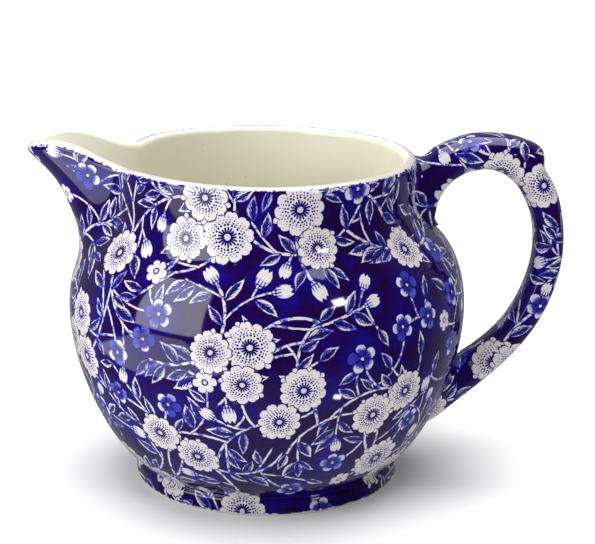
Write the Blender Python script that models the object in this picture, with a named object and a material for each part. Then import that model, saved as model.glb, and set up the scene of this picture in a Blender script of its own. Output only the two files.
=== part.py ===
"""A half-pint cream jug of glazed, blue-printed pottery, as the pieces it is put together from.

The body is one hollow casting: foot ring, round belly, short neck and a drawn pouring spout.
The loop handle is cast apart and luted on, so a layer of hard slip lies between each of its
two roots and the body's wall. The vessel stands on its foot with its spout towards -X and its
handle towards +X, symmetric about the XZ plane. Lengths below are in millimetres.
"""

import math

import bpy
import numpy as np

MM = 0.001

# Overall reach from the vessel's own axis, which puts the origin under the middle of the whole jug.
SPOUT_REACH = 56.83
HANDLE_REACH = 71.81
AXIS_X = (SPOUT_REACH - HANDLE_REACH) / 2

# The body's outer profile, as (radius, height) from the foot's bottom edge up to the rim.
FOOT_RADIUS = 32.5
FOOT_HEIGHT = 3.6
BELLY_RADIUS = 48.0
BELLY_HEIGHT = 43.5
RIM_RADIUS = 36.7
RIM_HEIGHT = 79.4
BODY_PROFILE = [
    (31.9, 4.7),
    (33.6, 6.3),
    (36.6, 9.6),
    (41.2, 17.0),
    (45.6, 28.0),
    (BELLY_RADIUS, BELLY_HEIGHT),
    (46.6, 52.5),
    (43.0, 59.3),
    (39.6, 63.1),
    (37.3, 67.0),
    (36.5, 72.0),
    (RIM_RADIUS, RIM_HEIGHT),
]

# The mouth isn't quite round: the casting is drawn towards the spout and stays a little wider across.
MOUTH_SHIFT = 0.9
MOUTH_WIDENING = 0.052
MOUTH_FROM = 56.0
MOUTH_FULL = 70.0

# Walls, floor and foot ring.
WALL = 3.4
FLOOR_TOP = 6.0
BASE_UNDERSIDE = 2.6
FOOT_RING_WIDTH = 3.2
EDGE_ROUND = 0.6

# The spout: how far it stands out of the round body, its half angle, and the lift of its lip.
SPOUT_OUTWARD = [
    (50.0, 0.0),
    (56.7, 0.6),
    (60.8, 3.6),
    (64.8, 7.6),
    (68.7, 10.6),
    (72.7, 13.4),
    (76.0, 16.8),
    (RIM_HEIGHT, 20.9),
]
SPOUT_HALF_ANGLE = math.radians(26.0)
SPOUT_LIP_RISE = [
    (0, 2.1),
    (5, 3.8),
    (10, 5.0),
    (14, 4.0),
    (18, 1.8),
    (24, -0.2),
    (32, 0.0),
    (45, 0.35),
    (60, 0.25),
    (90, 0),
    (135, 0),
    (180, 0),
]
LIP_RISE_FROM = 60.0

# The handle in the XZ plane: matching points of its outer and inner outlines, and its half width.
HANDLE_STATIONS = [
    ((40.6, 81.4), (40.0, 63.2), 6.3),
    ((45.3, 83.4), (41.0, 68.6), 6.0),
    ((49.4, 84.4), (44.4, 73.2), 5.9),
    ((53.6, 84.5), (48.8, 75.5), 5.9),
    ((58.0, 84.1), (53.2, 75.9), 5.9),
    ((62.4, 82.8), (57.0, 74.5), 5.9),
    ((66.0, 80.2), (60.2, 71.6), 5.8),
    ((66.3, 77.0), (61.7, 69.2), 5.8),
    ((68.3, 73.3), (63.0, 66.5), 5.7),
    ((71.0, 65.7), (64.3, 61.4), 5.6),
    ((71.8, 56.9), (64.5, 55.6), 5.6),
    ((70.5, 48.1), (63.3, 49.2), 5.6),
    ((67.4, 39.9), (60.6, 42.5), 5.7),
    ((62.3, 32.1), (56.6, 36.5), 5.8),
    ((55.7, 25.1), (51.8, 32.0), 5.9),
    ((46.4, 17.2), (48.6, 29.7), 6.2),
]
UPPER_ROOT = (78.6, 62.3, 6.6)
LOWER_ROOT = (12.4, 28.8, 6.5)
SECTION_POWER = 2.5

# The luting slip between each root and the body's wall, and the gap kept between solids.
GAP = 0.3
LUTE = 0.8
LUTE_BEAD = 0.5

COLUMNS = 72
SPOUT_CROWDING = 0.55
HANDLE_SIDES = 20
CAP_RINGS = (0.72, 0.4)

COBALT = (0.012, 0.008, 0.13, 1.0)
CREAM = (0.78, 0.74, 0.62, 1.0)


def cubic(knots, values):
    """A natural cubic spline through the rows of values at the knots, as a function of the knot variable."""
    knots = np.asarray(knots, float)
    values = np.asarray(values, float).reshape(len(knots), -1)
    step = np.diff(knots)[:, None]
    slope = np.diff(values, axis=0) / step
    matrix = np.eye(len(knots))
    right = np.zeros_like(values)
    for i in range(1, len(knots) - 1):
        before = step[i - 1, 0]
        after = step[i, 0]
        matrix[i, i - 1 : i + 2] = before, 2 * (before + after), after
        right[i] = 6 * (slope[i] - slope[i - 1])
    bend = np.linalg.solve(matrix, right)

    def at(x):
        x = np.atleast_1d(np.asarray(x, float))
        i = np.clip(np.searchsorted(knots, x) - 1, 0, len(knots) - 2)
        low = (knots[i + 1] - x)[:, None] / step[i]
        high = 1 - low
        bow = ((low**3 - low) * bend[i] + (high**3 - high) * bend[i + 1]) * step[i] ** 2 / 6
        return low * values[i] + high * values[i + 1] + bow

    return at


def curve(points):
    """A smooth curve through points, as a function of the share 0 to 1 of its chord length."""
    points = np.asarray(points, float)
    chord = np.concatenate([[0], np.cumsum(np.linalg.norm(np.diff(points, axis=0), axis=1))])
    return cubic(chord / chord[-1], points)


profile = curve(BODY_PROFILE)
spout_outward = cubic(*zip(*SPOUT_OUTWARD))
lip_rise = cubic(*zip(*SPOUT_LIP_RISE))


def spout_bell(angle):
    """1 on the spout's middle line, falling smoothly to 0 at its half angle."""
    share = np.clip(np.abs(angle) / SPOUT_HALF_ANGLE, 0, 1)
    return np.cos(share * math.pi / 2) ** 2


def mouth_share(height):
    """How far up the change from the round belly to the oval mouth a height is, 0 to 1."""
    share = np.clip((height - MOUTH_FROM) / (MOUTH_FULL - MOUTH_FROM), 0, 1)
    return share * share * (3 - 2 * share)


def outer_point(angle, share):
    """Points of the body's outer surface: angle is measured from the spout, share runs up the profile."""
    angle, share = np.broadcast_arrays(angle, share)
    radius, height = profile(share.ravel()).T.reshape(2, *share.shape)
    out = np.where(height > SPOUT_OUTWARD[0][0], spout_outward(height.ravel()).reshape(height.shape), 0)
    radius = radius + out * spout_bell(angle)
    mouth = mouth_share(height)
    ramp = np.clip((height - LIP_RISE_FROM) / (RIM_HEIGHT - LIP_RISE_FROM), 0, None) ** 2
    turn = np.degrees(np.abs(angle))
    height = height + ramp * lip_rise(turn.ravel()).reshape(turn.shape)
    x = -radius * np.cos(angle) - MOUTH_SHIFT * mouth
    y = radius * np.sin(angle) * (1 + MOUTH_WIDENING * mouth)
    return np.stack([x, y, height], axis=-1)


def outer_frame(angle, share):
    """The outer surface's points, outward normals and upward tangents."""
    small = 1e-4
    along = outer_point(angle, share + small) - outer_point(angle, share - small)
    across = outer_point(angle + small, share) - outer_point(angle - small, share)
    normal = np.cross(along, across)
    normal /= np.linalg.norm(normal, axis=-1, keepdims=True)
    along /= np.linalg.norm(along, axis=-1, keepdims=True)
    return outer_point(angle, share), normal, along


def ring(radius, height, angles):
    """A level circle of points about the vessel's axis."""
    return np.stack([-radius * np.cos(angles), radius * np.sin(angles), np.full_like(angles, height)], axis=-1)


def grid_faces(rows, columns):
    """Quads between successive closed rows of points."""
    faces = []
    for row in range(rows - 1):
        for column in range(columns):
            after = (column + 1) % columns
            low = row * columns
            high = low + columns
            faces.append((low + column, high + column, high + after, low + after))
    return faces


def closed_loft(rings, first_cap, last_cap):
    """One closed body: rings of points joined by quads, ended by inner rings that shrink to a centre point."""
    rows = list(first_cap[::-1]) + list(rings) + list(last_cap)
    start = rows.pop(0)
    end = rows.pop()
    columns = len(rows[0])
    points = np.concatenate(rows + [start[None], end[None]])
    faces = grid_faces(len(rows), columns)
    top = (len(rows) - 1) * columns
    for column in range(columns):
        after = (column + 1) % columns
        faces.append((len(points) - 2, column, after))
        faces.append((len(points) - 1, top + after, top + column))
    return points, faces


def make_object(name, points, faces, material, parent):
    mesh = bpy.data.meshes.new(name)
    mesh.from_pydata((np.asarray(points) * MM).tolist(), [], faces)
    mesh.validate()
    mesh.shade_smooth()
    mesh.set_sharp_from_angle(angle=math.radians(50))
    mesh.materials.append(material)
    made = bpy.data.objects.new(name, mesh)
    made.parent = parent
    bpy.context.scene.collection.objects.link(made)
    return made


def glaze(name, color, roughness):
    material = bpy.data.materials.new(name)
    material.use_nodes = True
    shader = material.node_tree.nodes["Principled BSDF"]
    shader.inputs["Base Color"].default_value = color
    shader.inputs["Roughness"].default_value = roughness
    shader.inputs["Metallic"].default_value = 0.0
    return material


def body_shape():
    """The casting: underside of the base, foot ring, outer wall, rounded lip, inner wall and floor."""
    turn = (np.arange(COLUMNS) / COLUMNS * 2 - 1) * math.pi
    angles = turn - SPOUT_CROWDING * np.sin(turn)
    half = WALL / 2
    rows = []
    foot_inside = FOOT_RADIUS - FOOT_RING_WIDTH
    for radius, height in (
        (foot_inside * 0.5, BASE_UNDERSIDE),
        (foot_inside - 1.6, BASE_UNDERSIDE),
        (foot_inside - 0.3, BASE_UNDERSIDE * 0.4),
        (foot_inside + EDGE_ROUND, 0.0),
        (FOOT_RADIUS - EDGE_ROUND, 0.0),
        (FOOT_RADIUS - EDGE_ROUND * 0.25, EDGE_ROUND * 0.4),
        (FOOT_RADIUS, EDGE_ROUND * 1.3),
        (FOOT_RADIUS, FOOT_HEIGHT - 0.3),
        (FOOT_RADIUS - 0.3, FOOT_HEIGHT + 0.3),
    ):
        rows.append(ring(radius, height, angles))
    top_share = 1 - half / np.linalg.norm(np.diff(BODY_PROFILE, axis=0), axis=1).sum()
    shares = np.linspace(0, top_share, 26)
    for share in shares:
        rows.append(outer_point(angles, share))
    point, normal, up = outer_frame(angles, top_share)
    for bend in np.radians((36, 72, 108, 144)):
        rows.append(point - half * normal + half * (math.cos(bend) * normal + math.sin(bend) * up))
    for share in shares[:4:-1]:
        point, normal, up = outer_frame(angles, share)
        rows.append(point - WALL * normal)
    wall_end = (np.hypot(*rows[-1][0, :2]), rows[-1][0, 2])
    inner_floor = curve([wall_end, (35.6, 12.6), (30.0, 8.0), (23.0, FLOOR_TOP + 0.3), (12.0, FLOOR_TOP)])
    for share in (0.2, 0.4, 0.6, 0.8, 1.0):
        radius, height = inner_floor(share)[0]
        rows.append(ring(radius, height, angles))
    under = np.array([0.0, 0.0, BASE_UNDERSIDE])
    floor = np.array([0.0, 0.0, FLOOR_TOP])
    return closed_loft(rows, [under], [floor])


def wall_radius(height):
    """The round body's outer radius at a height above the foot."""
    radius, level = profile(np.linspace(0, 1, 600)).T
    return np.interp(height, level, radius)


def section(sides):
    """A soft oval with flattened faces: shares of the half thickness and of the half width."""
    angle = np.arange(sides) / sides * 2 * math.pi
    power = 2 / SECTION_POWER
    thick = np.sign(np.cos(angle)) * np.abs(np.cos(angle)) ** power
    wide = np.sign(np.sin(angle)) * np.abs(np.sin(angle)) ** power
    return thick, wide


def root_ring(outer_height, inner_height, half_width, away, grow=0.0, scale=1.0):
    """A root's outline, laid on the body's wall and lifted off it by the distance away."""
    thick, wide = section(HANDLE_SIDES)
    reach = (outer_height - inner_height) / 2
    reach += math.copysign(grow, reach)
    height = (outer_height + inner_height) / 2 + reach * thick * scale
    side = (half_width + grow) * wide * scale
    mouth = mouth_share(height)
    radius = wall_radius(height) + away
    x = np.sqrt(radius**2 - (side / (1 + MOUTH_WIDENING * mouth)) ** 2) - MOUTH_SHIFT * mouth
    return np.stack([x, side, height], axis=-1)


def root_cap(root, away, grow=0.0):
    """Inner rings and the centre point that close a root's outline along the curve of the wall."""
    rings = [root_ring(*root, away, grow, scale) for scale in CAP_RINGS]
    return rings + [root_ring(*root, away, grow, 0.0)[0]]


def handle_shape():
    thick, wide = section(HANDLE_SIDES)
    stations = np.array([(*outer, *inner, width) for outer, inner, width in HANDLE_STATIONS])
    sweep = curve(stations)
    away = GAP + LUTE + GAP
    rings = [root_ring(*UPPER_ROOT, away)]
    for station in sweep(np.linspace(0, 1, 40)):
        outer = np.array([station[0], 0, station[1]])
        inner = np.array([station[2], 0, station[3]])
        middle = (outer + inner) / 2
        side = np.array([0, station[4], 0])
        rings.append(middle + thick[:, None] * (outer - middle) + wide[:, None] * side)
    rings.append(root_ring(*LOWER_ROOT, away))
    return closed_loft(rings, root_cap(UPPER_ROOT, away), root_cap(LOWER_ROOT, away))


def lute_shape(root, towards_handle):
    """The slip layer of one root: a curved pad, widest against the wall."""
    near = root_ring(*root, GAP, LUTE_BEAD)
    far = root_ring(*root, GAP + LUTE, LUTE_BEAD * 0.3)
    near_cap = root_cap(root, GAP, LUTE_BEAD)
    far_cap = root_cap(root, GAP + LUTE, LUTE_BEAD * 0.3)
    if towards_handle:
        return closed_loft([near, far], near_cap, far_cap)
    return closed_loft([far, near], far_cap, near_cap)


def main():
    for old in list(bpy.data.objects):
        bpy.data.objects.remove(old, do_unlink=True)
    jug = bpy.data.objects.new("cream_jug", None)
    jug.location = (AXIS_X * MM, 0, 0)
    bpy.context.scene.collection.objects.link(jug)
    make_object("body", *body_shape(), glaze("printed_body_glaze", COBALT, 0.08), jug)
    make_object("handle", *handle_shape(), glaze("printed_handle_glaze", COBALT, 0.08), jug)
    make_object("upper_handle_joint", *lute_shape(UPPER_ROOT, True), glaze("upper_slip", CREAM, 0.3), jug)
    make_object("lower_handle_joint", *lute_shape(LOWER_ROOT, False), glaze("lower_slip", CREAM, 0.3), jug)


main()
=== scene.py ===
"""A half-pint cream jug with a blue flower print under a clear glaze, on a pale studio floor.

The jug has the same turned profile, drawn spout and swept handle as its solid model, at a finer
pitch. The print is drawn by shader nodes from local coordinates that are laid out here: every
blossom, leaf, bud and stem is placed by rule from a seeded generator. Lengths are in millimetres
unless a name says otherwise. Angles round the body are counted from the spout, and the front is
at -90 degrees.
"""

import math

import bpy
import numpy as np
from mathutils import Matrix, Vector
from mathutils.bvhtree import BVHTree


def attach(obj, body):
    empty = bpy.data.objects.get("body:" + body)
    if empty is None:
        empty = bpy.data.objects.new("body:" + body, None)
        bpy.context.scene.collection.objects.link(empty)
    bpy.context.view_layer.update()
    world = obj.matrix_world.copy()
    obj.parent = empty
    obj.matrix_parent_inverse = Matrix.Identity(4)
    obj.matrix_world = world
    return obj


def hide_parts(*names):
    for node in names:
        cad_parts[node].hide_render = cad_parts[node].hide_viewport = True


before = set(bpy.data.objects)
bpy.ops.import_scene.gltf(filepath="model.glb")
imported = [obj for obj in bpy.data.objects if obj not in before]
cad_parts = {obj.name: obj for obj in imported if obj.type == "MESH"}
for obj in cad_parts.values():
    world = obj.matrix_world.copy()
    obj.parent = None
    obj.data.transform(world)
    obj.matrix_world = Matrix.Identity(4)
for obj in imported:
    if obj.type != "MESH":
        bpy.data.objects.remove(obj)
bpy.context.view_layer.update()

MM = 0.001
FULL_TURN = 2 * math.pi
SPOUT_REACH = 56.83
HANDLE_REACH = 71.81
AXIS_X = (SPOUT_REACH - HANDLE_REACH) / 2

# The casting's profiles, as (radius, height): under the base, round the foot, up the body, and
# over the floor inside.
RIM_HEIGHT = 79.4
WALL = 3.4
FLOOR_TOP = 6.0
BASE_UNDERSIDE = 2.6
BASE_PROFILE = [
    (0.05, BASE_UNDERSIDE), (14.0, BASE_UNDERSIDE), (27.3, BASE_UNDERSIDE), (28.7, 2.1),
    (29.3, 0.7), (30.1, 0.05), (30.8, 0.0), (31.5, 0.0),
]
FOOT_PROFILE = [
    (31.5, 0.0), (32.1, 0.12), (32.5, 0.6), (32.55, 1.6), (32.5, 2.9), (32.35, 3.7),
    (31.9, 4.15), (31.72, 4.45),
]
BODY_PROFILE = [
    (31.9, 4.7), (33.6, 6.3), (36.6, 9.6), (41.2, 17.0), (45.6, 28.0), (48.0, 43.5),
    (46.6, 52.5), (43.0, 59.3), (39.6, 63.1), (37.3, 67.0), (36.5, 72.0), (36.7, RIM_HEIGHT),
]
FLOOR_PROFILE = [
    (35.6, 12.6), (30.0, 8.0), (23.0, FLOOR_TOP + 0.3), (12.0, FLOOR_TOP), (0.05, FLOOR_TOP),
]

# The mouth is a little oval, and a little nearer the spout than the foot is.
MOUTH_SHIFT = 0.9
MOUTH_WIDENING = 0.052
MOUTH_FROM = 56.0
MOUTH_FULL = 70.0

# How far the spout stands out at each height, and how far the lip rises at each angle from it.
SPOUT_OUTWARD = [
    (50.0, 0.0), (56.7, 0.6), (60.8, 3.6), (64.8, 7.6), (68.7, 10.6), (72.7, 13.4),
    (76.0, 16.8), (RIM_HEIGHT, 20.9),
]
SPOUT_HALF_ANGLE = math.radians(26.0)
SPOUT_LIP_RISE = [
    (0, 2.1), (5, 3.8), (10, 5.0), (14, 4.0), (18, 1.8), (24, -0.2), (32, 0.0), (45, 0.35),
    (60, 0.25), (90, 0), (135, 0), (180, 0),
]
LIP_RISE_FROM = 60.0

# The handle's matching outer and inner outline points in the XZ plane, and its half width.
HANDLE_STATIONS = [
    ((40.6, 81.4), (40.0, 63.2), 6.3),
    ((45.3, 83.4), (41.0, 68.6), 6.0),
    ((49.4, 84.4), (44.4, 73.2), 5.9),
    ((53.6, 84.5), (48.8, 75.5), 5.9),
    ((58.0, 84.1), (53.2, 75.9), 5.9),
    ((62.4, 82.8), (57.0, 74.5), 5.9),
    ((66.0, 80.2), (60.2, 71.6), 5.8),
    ((66.3, 77.0), (61.7, 69.2), 5.8),
    ((68.3, 73.3), (63.0, 66.5), 5.7),
    ((71.0, 65.7), (64.3, 61.4), 5.6),
    ((71.8, 56.9), (64.5, 55.6), 5.6),
    ((70.5, 48.1), (63.3, 49.2), 5.6),
    ((67.4, 39.9), (60.6, 42.5), 5.7),
    ((62.3, 32.1), (56.6, 36.5), 5.8),
    ((55.7, 25.1), (51.8, 32.0), 5.9),
    ((46.4, 17.2), (48.6, 29.7), 6.2),
]
SECTION_POWER = 2.5

# Each root's outer height, inner height and half width on the wall, the shares of its growth at
# its outer and inner ends, and the growth of both roots at each distance from the wall.
UPPER_ROOT = (78.6, 62.3, 6.6)
LOWER_ROOT = (12.4, 28.8, 6.5)
UPPER_GROWTH = (0.12, 0.3)
LOWER_GROWTH = (1.0, 0.7)
ROOT_FLARE = [(-0.5, 2.6), (-0.1, 1.9), (0.25, 1.3), (0.7, 0.75), (1.3, 0.35)]

# A fillet ends where the handle's middle has left the wall by this much.
FILLET_REACH = 1.2

# The columns crowd together towards the spout. The print runs from a height on the foot to an
# angle on the bend of the lip.
COLUMNS = 400
SPOUT_CROWDING = 0.35
HANDLE_SIDES = 64
HANDLE_ROWS = 230
PRINT_FOOT = 0.5
PRINT_LIP_BEND = 106


# ---------------------------------------------------------------- curves and surfaces


def unit(vector):
    return vector / np.linalg.norm(vector)


def swing(direction, normal, angle):
    """A tangent direction turned about the normal."""
    return direction * math.cos(angle) + np.cross(normal, direction) * math.sin(angle)


def cubic(knots, values):
    """A natural cubic spline through the rows of values at the knots, as a function."""
    knots = np.asarray(knots, float)
    values = np.asarray(values, float).reshape(len(knots), -1)
    step = np.diff(knots)[:, None]
    slope = np.diff(values, axis=0) / step
    matrix = np.eye(len(knots))
    right = np.zeros_like(values)
    for i in range(1, len(knots) - 1):
        before = step[i - 1, 0]
        after = step[i, 0]
        matrix[i, i - 1 : i + 2] = before, 2 * (before + after), after
        right[i] = 6 * (slope[i] - slope[i - 1])
    bend = np.linalg.solve(matrix, right)

    def at(x):
        x = np.atleast_1d(np.asarray(x, float))
        i = np.clip(np.searchsorted(knots, x) - 1, 0, len(knots) - 2)
        low = (knots[i + 1] - x)[:, None] / step[i]
        high = 1 - low
        bow = ((low**3 - low) * bend[i] + (high**3 - high) * bend[i + 1]) * step[i] ** 2 / 6
        return low * values[i] + high * values[i + 1] + bow

    return at


def curve(points):
    """A smooth curve through points, as a function of the share 0 to 1 of its chord length."""
    points = np.asarray(points, float)
    chord = np.concatenate([[0], np.cumsum(np.linalg.norm(np.diff(points, axis=0), axis=1))])
    return cubic(chord / chord[-1], points)


profile = curve(BODY_PROFILE)
spout_outward = cubic(*zip(*SPOUT_OUTWARD))
lip_rise = cubic(*zip(*SPOUT_LIP_RISE))


def mouth_share(height):
    share = np.clip((height - MOUTH_FROM) / (MOUTH_FULL - MOUTH_FROM), 0, 1)
    return share * share * (3 - 2 * share)


def outer_point(angle, share):
    """Points of the body's outer surface, by the angle from the spout and the share of the profile."""
    angle, share = np.broadcast_arrays(angle, share)
    radius, height = profile(share.ravel()).T.reshape(2, *share.shape)
    out = np.where(height > SPOUT_OUTWARD[0][0], spout_outward(height.ravel()).reshape(height.shape), 0)
    bell = np.cos(np.clip(np.abs(angle) / SPOUT_HALF_ANGLE, 0, 1) * math.pi / 2) ** 2
    radius = radius + out * bell
    mouth = mouth_share(height)
    ramp = np.clip((height - LIP_RISE_FROM) / (RIM_HEIGHT - LIP_RISE_FROM), 0, None) ** 2
    turn = np.degrees(np.abs(angle))
    height = height + ramp * lip_rise(turn.ravel()).reshape(turn.shape)
    x = -radius * np.cos(angle) - MOUTH_SHIFT * mouth
    y = radius * np.sin(angle) * (1 + MOUTH_WIDENING * mouth)
    return np.stack([x, y, height], axis=-1)


def outer_frame(angle, share):
    """The outer surface's points, outward normals and upward tangents."""
    small = 1e-4
    along = outer_point(angle, share + small) - outer_point(angle, share - small)
    across = outer_point(angle + small, share) - outer_point(angle - small, share)
    normal = np.cross(along, across)
    normal /= np.linalg.norm(normal, axis=-1, keepdims=True)
    along /= np.linalg.norm(along, axis=-1, keepdims=True)
    return outer_point(angle, share), normal, along


def ring(radius, height, angles):
    level = np.full_like(angles, height)
    return np.stack([-radius * np.cos(angles), radius * np.sin(angles), level], axis=-1)


def grid_normals(points):
    """Smooth outward normals of a grid whose columns close on themselves."""
    along = np.gradient(points, axis=0)
    across = np.roll(points, -1, axis=1) - np.roll(points, 1, axis=1)
    normal = np.cross(along, across)
    length = np.linalg.norm(normal, axis=-1, keepdims=True)
    return normal / np.maximum(length, 1e-12)


def body_grid():
    """The whole casting from the middle of its base, over foot, belly and lip, to the middle of its floor.

    It gives the grid's points, its columns' angles and the row numbers where the print starts and ends.
    """
    turn = (np.arange(COLUMNS) / COLUMNS * 2 - 1) * math.pi
    angles = turn - SPOUT_CROWDING * np.sin(turn)
    half = WALL / 2
    rows = []
    under = curve(BASE_PROFILE)
    for radius, height in under(np.linspace(0, 1, 40))[:-1]:
        rows.append(ring(radius, max(height, 0.0), angles))
    foot = curve(FOOT_PROFILE)
    for radius, height in foot(np.linspace(0, 1, 22)):
        rows.append(ring(radius, max(height, 0.0), angles))
        if height < PRINT_FOOT:
            print_from = len(rows) - 1
    top_share = 1 - half / np.linalg.norm(np.diff(BODY_PROFILE, axis=0), axis=1).sum()
    shares = np.concatenate([np.linspace(0, 0.06, 12)[:-1], np.linspace(0.06, top_share, 112)])
    for share in shares:
        rows.append(outer_point(angles, share))
    point, normal, up = outer_frame(angles, top_share)
    for bend in np.linspace(0, 180, 25)[1:-1]:
        turned = math.radians(bend)
        rows.append(point - half * normal + half * (math.cos(turned) * normal + math.sin(turned) * up))
        if bend < PRINT_LIP_BEND:
            print_to = len(rows)
    for share in np.linspace(top_share, 0.19, 74):
        point, normal, up = outer_frame(angles, share)
        rows.append(point - WALL * normal)
    wall_end = (np.hypot(*rows[-1][0, :2]), rows[-1][0, 2])
    inner_floor = curve([wall_end, *FLOOR_PROFILE])
    for radius, height in inner_floor(np.linspace(0, 1, 34))[1:]:
        rows.append(ring(radius, height, angles))
    return np.array(rows), angles, print_from, print_to


def wall_radius(height):
    radius, level = profile(np.linspace(0, 1, 600)).T
    return np.interp(height, level, radius)


def section(sides):
    """A soft oval with flattened faces: shares of the half thickness and of the half width."""
    angle = np.arange(sides) / sides * 2 * math.pi
    power = 2 / SECTION_POWER
    thick = np.sign(np.cos(angle)) * np.abs(np.cos(angle)) ** power
    wide = np.sign(np.sin(angle)) * np.abs(np.sin(angle)) ** power
    return thick, wide


def root_ring(outer_height, inner_height, half_width, away, grow, outer_share, inner_share):
    """A root's outline, laid on the body's wall, lifted off it by the distance away and grown all round.

    Its two ends grow by their shares of that: the upper root has little room on the neck.
    """
    thick, wide = section(HANDLE_SIDES)
    reach = (outer_height - inner_height) / 2
    spread = math.copysign(grow, reach) * np.where(thick > 0, outer_share, inner_share)
    height = (outer_height + inner_height) / 2 + (reach + spread) * thick
    side = (half_width + grow) * wide
    mouth = mouth_share(height)
    radius = wall_radius(height) + away
    x = np.sqrt(radius**2 - (side / (1 + MOUTH_WIDENING * mouth)) ** 2) - MOUTH_SHIFT * mouth
    return np.stack([x, side, height], axis=-1)


def handle_grid():
    """The handle from the wall at its upper root, round the loop, to the wall at its lower root."""
    thick, wide = section(HANDLE_SIDES)
    stations = np.array([(*outer, *inner, width) for outer, inner, width in HANDLE_STATIONS])
    sweep = curve(stations)
    rings = [root_ring(*UPPER_ROOT, away, grow, *UPPER_GROWTH) for away, grow in ROOT_FLARE]
    for station in sweep(np.linspace(0, 1, 190)):
        outer = np.array([station[0], 0, station[1]])
        inner = np.array([station[2], 0, station[3]])
        middle = (outer + inner) / 2
        side = np.array([0, station[4], 0])
        rings.append(middle + thick[:, None] * (outer - middle) + wide[:, None] * side)
    rings += [root_ring(*LOWER_ROOT, away, grow, *LOWER_GROWTH) for away, grow in ROOT_FLARE[::-1]]
    knots = np.array(rings)
    gaps = np.linalg.norm(np.diff(knots, axis=0), axis=2).mean(axis=1)
    place = np.concatenate([[0], np.cumsum(np.maximum(gaps, 1e-6))])
    smooth = cubic(place, knots.reshape(len(knots), -1))
    return smooth(np.linspace(0, place[-1], HANDLE_ROWS)).reshape(HANDLE_ROWS, HANDLE_SIDES, 3)


def sheet_of(points, normals, columns=None):
    """Vertices, normals and quads of a grid that closes on itself, or of an open run of its columns."""
    rows, width = points.shape[:2]
    closed = columns is None
    if closed:
        columns = np.arange(width)
    vertices = points[:, columns].reshape(-1, 3)
    smooth = normals[:, columns].reshape(-1, 3)
    count = len(columns)
    spans = np.arange(count if closed else count - 1)
    row, column = np.meshgrid(np.arange(rows - 1), spans, indexing="ij")
    after = (column + 1) % count
    low = row * count
    high = low + count
    quads = np.stack([low + column, high + column, high + after, low + after], axis=-1)
    return vertices, smooth, quads.reshape(-1, 4)


def make_piece(name, vertices, normals, quads, material, slot):
    mesh = bpy.data.meshes.new(name)
    placed = vertices * MM + np.array([AXIS_X * MM, 0, 0])
    mesh.from_pydata(placed.tolist(), [], quads.tolist())
    mesh.shade_smooth()
    mesh.normals_split_custom_set_from_vertices(normals.tolist())
    mesh.materials.append(material)
    made = bpy.data.objects.new(name, mesh)
    bpy.context.scene.collection.objects.link(made)
    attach(made, "root")
    return made


# ---------------------------------------------------------------- layout of the print

# Each motif's radius, or its half length.
BLOSSOM, PANSY, FLORET, BUD, LEAF = range(5)
SIZE = {BLOSSOM: 5.5, PANSY: 3.7, FLORET: 2.9, BUD: 2.3, LEAF: 3.2}
BLOSSOM_TRIES = 6000
FLOWER_TRIES = 9000
CLUSTER_GAP = 4.2
BLOSSOM_GAP = 0.6
TRUNKS_EACH = 2

# A stem's walk goes on by STEP, and ends where another stem is nearer than one of these.
STEP = 0.5
MEETS = 0.35
MEETS_CLOSE = 0.25

# The vector that tangents are measured from, the coordinate where there is no motif, and the
# number of layers that hold motifs which overlap.
SLANT = (0.31, 0.17, 0.93)
FAR = 9.0
STEM_LAYERS = 3
BLOSSOM_LAYERS = 3
LEAF_LAYERS = 2


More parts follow.
